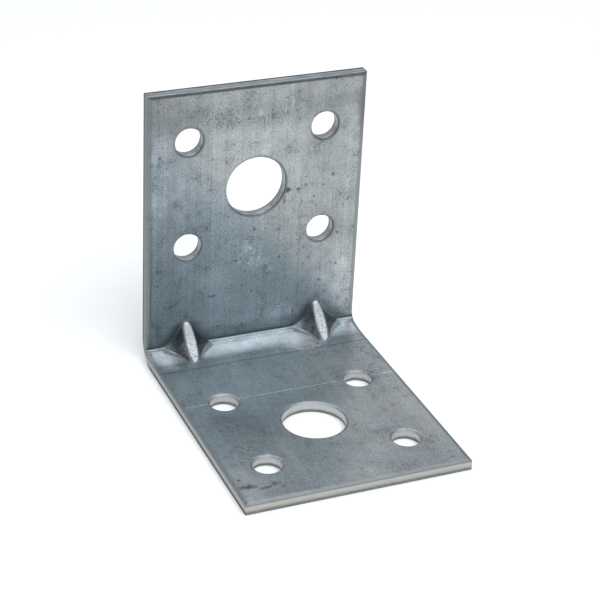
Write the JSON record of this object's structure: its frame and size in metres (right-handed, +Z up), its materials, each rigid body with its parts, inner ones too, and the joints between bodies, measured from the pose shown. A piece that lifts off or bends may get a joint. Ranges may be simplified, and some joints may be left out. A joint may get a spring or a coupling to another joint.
{
  "type": "corner brace bracket",
  "caption": "Folded steel corner brace with two equal legs, a bolt hole ringed by screw holes in each leg, and pressed gussets across the inside of the fold.",
  "frame": {"origin": "centre of the footprint, on the seating plane under the base leg", "axes": "+Z up along the upright leg, X along the fold, and the base leg runs from the fold at +Y to its front edge at -Y"},
  "size_m": [0.04, 0.0512, 0.0513],
  "materials": {
    "zinc": "hot-dip galvanised, dull"
  },
  "bodies": {
    "root": {"bracket": "zinc"}
  },
  "joints": []
}
